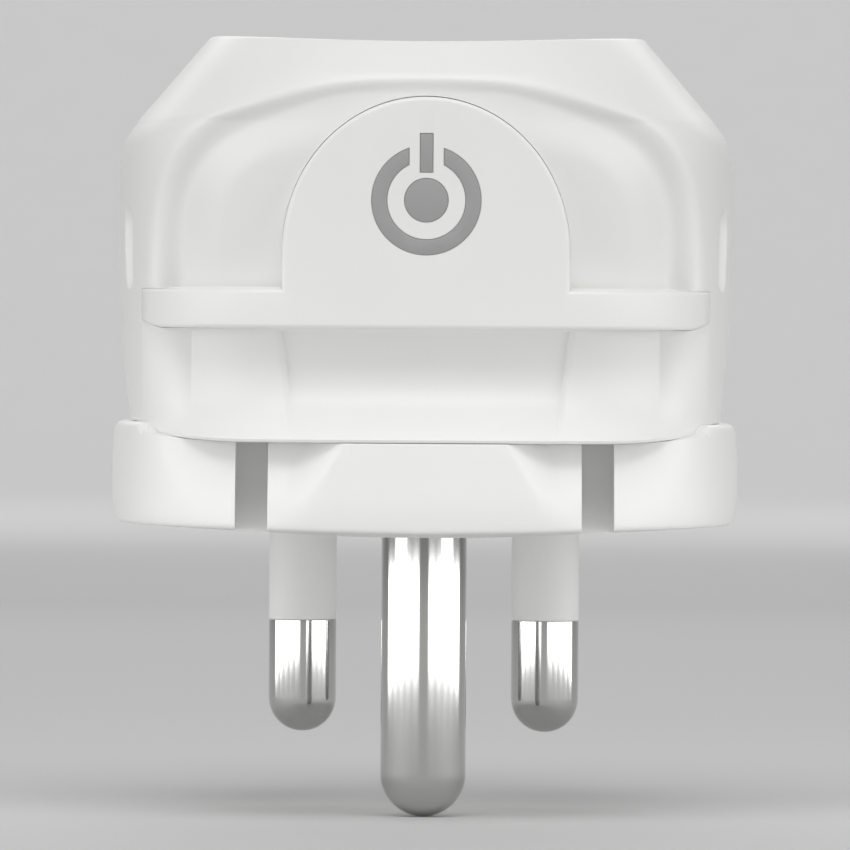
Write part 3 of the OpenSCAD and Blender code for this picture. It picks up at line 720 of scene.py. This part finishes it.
def lathe(name, profile, x, y):
    """A turned piece of the plug: its profile runs from the tip on the axis to the end on the axis."""
    angle = np.linspace(0, 2 * math.pi, PIN_AROUND, endpoint=False)
    points = []
    for r, z in profile[1:-1]:
        points += [(x + r * math.cos(t), y + r * math.sin(t), z) for t in angle]
    rows = len(profile) - 2
    faces = band_faces(rows, PIN_AROUND)
    tip = len(points)
    points += [(x, y, profile[0][1]), (x, y, profile[-1][1])]
    for i in range(PIN_AROUND):
        j = (i + 1) % PIN_AROUND
        faces.append((tip, j, i))
        faces.append((tip + 1, (rows - 1) * PIN_AROUND + i, (rows - 1) * PIN_AROUND + j))
    mesh = bpy.data.meshes.new(name)
    mesh.from_pydata([tuple(c * MM for c in p) for p in points], [], faces)
    obj = add_object(name, mesh, "plug")
    shade_by_angle(obj, 40)
    return obj


def dome(r, tip_z):
    """Profile of a pin's round tip."""
    return [(r * math.sin(t), tip_z + r * (1 - math.cos(t))) for t in np.linspace(0, math.pi / 2, 14)]


def head(head_r, post_r, top):
    """Profile of a pin above the floor of the base: the head, and the post for its strap."""
    return [(head_r, FLOOR_TOP), (head_r, HEAD_TOP), (post_r, HEAD_TOP), (post_r, top), (0, top)]


def make_earth_pin():
    collar = EARTH_R + COLLAR
    profile = dome(EARTH_R, earth_low.z) + [(EARTH_R, 0), (collar, 0), (collar, FLOOR_TOP)]
    profile += head(EARTH_HEAD_R, EARTH_POST_R, earth_high.z)
    pin = lathe("earth_pin_metal", profile, 0, EARTH_Y)
    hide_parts("earth_pin")
    return pin


def make_line_pin(line, side):
    """Live or neutral pin, which gets thinner where its sleeve begins."""
    shoulder = sleeve_low.z
    profile = dome(LINE_R, live_low.z)
    profile += [(LINE_R, shoulder - 0.06), (LINE_R - 0.06, shoulder - 0.01)]
    profile += [(CORE_R, shoulder), (CORE_R, FLOOR_TOP)]
    profile += head(LINE_HEAD_R, LINE_POST_R, live_high.z)
    pin = lathe(line + "_pin_metal", profile, side * LINE_X, LINE_Y)
    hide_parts(line + "_pin")
    return pin


def make_sleeve(line, side):
    """Insulating sleeve of the live or neutral pin, with its collar in the base."""
    low = sleeve_low.z
    collar = LINE_R + COLLAR
    rows = ((BORE_R, low), (LINE_R - 0.1, low), (LINE_R, low + 0.1), (LINE_R, 0), (collar, 0),
            (collar, FLOOR_TOP), (BORE_R, FLOOR_TOP))
    angle = np.linspace(0, 2 * math.pi, PIN_AROUND, endpoint=False)
    middle = np.array([side * LINE_X, LINE_Y, 0])
    rings = [ring(angle, np.full(PIN_AROUND, r), z) + middle for r, z in rows]
    sleeve = add_object(line + "_sleeve", tube_mesh(line + "_sleeve", rings), "plug")
    shade_by_angle(sleeve, 30)
    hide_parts(line + "_pin_sleeve")
    return sleeve


# ---------- materials ----------

def material(name, color, roughness, metallic=0.0):
    """A surface with small clouds of colour and roughness. Returns it with its tree, shader and
    texture place."""
    mat = bpy.data.materials.new(name)
    mat.use_nodes = True
    tree = mat.node_tree
    shader = tree.nodes["Principled BSDF"]
    shader.inputs["Metallic"].default_value = metallic
    place = tree.nodes.new("ShaderNodeTexCoord")
    cloud = tree.nodes.new("ShaderNodeTexNoise")
    cloud.inputs["Scale"].default_value = 90
    cloud.inputs["Detail"].default_value = 4
    tree.links.new(place.outputs["Object"], cloud.inputs["Vector"])
    tint = tree.nodes.new("ShaderNodeMix")
    tint.data_type = "RGBA"
    tint.inputs[6].default_value = (*[c * 0.985 for c in color], 1)
    tint.inputs[7].default_value = (*[min(c * 1.01, 1) for c in color], 1)
    tree.links.new(cloud.outputs["Fac"], tint.inputs[0])
    tree.links.new(tint.outputs[2], shader.inputs["Base Color"])
    rough = tree.nodes.new("ShaderNodeMapRange")
    rough.inputs["To Min"].default_value = roughness * 0.88
    rough.inputs["To Max"].default_value = roughness * 1.12
    tree.links.new(cloud.outputs["Fac"], rough.inputs["Value"])
    tree.links.new(rough.outputs["Result"], shader.inputs["Roughness"])
    return mat, tree, shader, place


def add_grain(tree, shader, place, scale, strength, depth, stretch=(1, 1, 1)):
    """Fine relief from noise, optionally drawn out along an axis."""
    spread = tree.nodes.new("ShaderNodeMapping")
    spread.inputs["Scale"].default_value = stretch
    grain = tree.nodes.new("ShaderNodeTexNoise")
    grain.inputs["Scale"].default_value = scale
    grain.inputs["Detail"].default_value = 3
    bump = tree.nodes.new("ShaderNodeBump")
    bump.inputs["Strength"].default_value = strength
    bump.inputs["Distance"].default_value = depth
    tree.links.new(place.outputs["Object"], spread.inputs["Vector"])
    tree.links.new(spread.outputs["Vector"], grain.inputs["Vector"])
    tree.links.new(grain.outputs["Fac"], bump.inputs["Height"])
    tree.links.new(bump.outputs["Normal"], shader.inputs["Normal"])


def shell_plastic(name, color):
    """Satin white moulding: fine spark-eroded grain under a soft gloss."""
    mat, tree, shader, place = material(name, color, 0.4)
    add_grain(tree, shader, place, 5200, 0.12, 0.00003)
    shader.inputs["Coat Weight"].default_value = 0.15
    shader.inputs["Coat Roughness"].default_value = 0.25
    return mat


def matt_plastic(name, color):
    """Dull moulding or lacquer."""
    mat, tree, shader, place = material(name, color, 0.6)
    add_grain(tree, shader, place, 4200, 0.25, 0.00004)
    return mat


def plated_metal(name, color):
    """Bright nickel plate with faint drawing lines along the pin."""
    mat, tree, shader, place = material(name, color, 0.1, 1.0)
    add_grain(tree, shader, place, 2600, 0.03, 0.00002, (1, 1, 0.05))
    return mat


def plain_metal(name, color):
    """Rolled or turned metal without a plate."""
    mat, tree, shader, place = material(name, color, 0.32, 1.0)
    add_grain(tree, shader, place, 3000, 0.2, 0.00002, (1, 0.1, 1))
    return mat


FINISHES = {
    "gloss_plastic": shell_plastic,
    "matte_plastic": matt_plastic,
    "painted_metal": matt_plastic,
    "chrome": plated_metal,
    "brushed_steel": plain_metal,
    "brass": plain_metal,
    "aluminium": plain_metal,
}


def make_materials():
    """One material per slot of the record."""
    return {entry["slot"]: FINISHES[entry["class"]](entry["slot"], entry["base_color"][:3])
            for entry in frame["record"]["materials"]}


def paint(obj, mat):
    obj.data.materials.clear()
    obj.data.materials.append(mat)


def paint_nodes(materials):
    """Every CAD node takes the material of its slot."""
    for part in frame["record"]["subparts"]:
        obj = frame["nodes"][part["node"]]
        paint(obj, materials[part["material_slot"]])


def soften(node, width):
    """A small rounded edge on a CAD node that stays in view."""
    bevel = frame["nodes"][node].modifiers.new("edges", "BEVEL")
    bevel.width = width * MM
    bevel.segments = 3
    bevel.limit_method = "ANGLE"
    bevel.angle_limit = math.radians(40)
    bevel.harden_normals = True


# ---------- studio ----------

def make_floor():
    """A pale floor that curves up into a wall behind the object."""
    low = cad_box[0].z
    half = 4.0
    front = -3.0
    back = 2.8
    top = 3.0
    bend = 0.9
    profile = [(front, 0.0), (back - bend, 0.0)]
    profile += [(back - bend + bend * math.sin(t), bend * (1 - math.cos(t)))
                for t in np.linspace(0.1, math.pi / 2, 16)]
    profile.append((back, top))
    points = [(side * half, y, low + z) for y, z in profile for side in (-1, 1)]
    faces = [(2 * k, 2 * k + 1, 2 * k + 3, 2 * k + 2) for k in range(len(profile) - 1)]
    mesh = bpy.data.meshes.new("floor")
    mesh.from_pydata(points, [], faces)
    smooth(mesh)
    floor = bpy.data.objects.new("floor", mesh)
    bpy.context.scene.collection.objects.link(floor)
    mat, _, _, _ = material("floor_paper", (0.62, 0.62, 0.62), 0.8)
    paint(floor, mat)


def add_lamp(name, place, size, power, target=(0, 0, 0.012), spread=180):
    data = bpy.data.lights.new(name, "AREA")
    data.shape = "RECTANGLE"
    data.size, data.size_y = size
    data.energy = power
    data.spread = math.radians(spread)
    lamp = bpy.data.objects.new(name, data)
    lamp.location = place
    lamp.rotation_euler = (Vector(target) - Vector(place)).to_track_quat("-Z", "Y").to_euler()
    bpy.context.scene.collection.objects.link(lamp)


def make_pin_lights():
    """A low arc of small panels on each side, whose light lies along the flanks of the pins."""
    reach = 0.2
    height = -0.018
    step = 20
    size = (2 * reach * math.tan(math.radians(step / 2)), 0.018)
    power = 0.0009
    centre = (0, EARTH_Y * MM, height)
    for side in (-1, 1):
        for turn in range(22, 122, step):
            across = side * reach * math.sin(math.radians(turn))
            along = centre[1] - reach * math.cos(math.radians(turn))
            add_lamp("pin_light", (across, along, height), size, power, centre, spread=40)


def make_lights():
    """Soft boxes above, in front and behind, side panels, and a light on the wall."""
    soft_box = (0.8, 0.4)
    add_lamp("high_light", (0, -0.62, 0.72), soft_box, 2.8)
    add_lamp("top_light", (0, -0.25, 0.95), soft_box, 1.7)
    for name, side in (("left_light", -1), ("right_light", 1)):
        add_lamp(name, (side * 0.75, -0.35, 0.2), (0.6, 0.5), 1.8)
    add_lamp("back_light", (0, 0.8, 0.55), (0.9, 0.5), 2.2)
    make_pin_lights()
    add_lamp("wall_light", (0, 1.2, 1.0), (2.4, 0.6), 20, target=(0, 2.8, 0.3))


def make_world():
    """Even grey light from everywhere, shown without a film curve."""
    world = bpy.data.worlds.new("studio")
    world.use_nodes = True
    sky = world.node_tree.nodes["Background"]
    sky.inputs["Color"].default_value = (0.5, 0.5, 0.5, 1)
    sky.inputs["Strength"].default_value = 0.5
    bpy.context.scene.world = world
    bpy.context.scene.view_settings.view_transform = "Standard"


def make_camera():
    """Nearly level view from the front, a metre away, with a long lens."""
    distance = 1.0
    data = bpy.data.cameras.new("camera")
    data.sensor_width = 36
    data.lens = 415.5
    data.clip_start = 0.05
    camera = bpy.data.objects.new("camera", data)
    camera.location = (0, EARTH_Y * MM - distance, 0.021)
    aim = Vector((0, EARTH_Y * MM, 0.0113))
    facing = (aim - camera.location).to_track_quat("-Z", "Y")
    roll = Quaternion((0, 0, 1), math.radians(0.35))
    camera.rotation_euler = (facing @ roll).to_euler()
    bpy.context.scene.collection.objects.link(camera)
    bpy.context.scene.camera = camera


materials = make_materials()
paint_nodes(materials)
paint(make_housing(), materials["shell"])
paint(make_base(), materials["shell"])
paint(make_front_plate(), materials["press_plate"])
paint(make_symbol(), materials["symbol"])
paint(make_earth_pin(), materials["pin_metal"])
for line, side in LINE_PINS:
    paint(make_line_pin(line, side), materials["pin_metal"])
for line, side in LINE_PINS:
    paint(make_sleeve(line, side), materials["sleeve"])
for node in ("socket_insert", "case_screws"):
    soften(node, 0.15)
make_floor()
make_lights()
make_world()
make_camera()
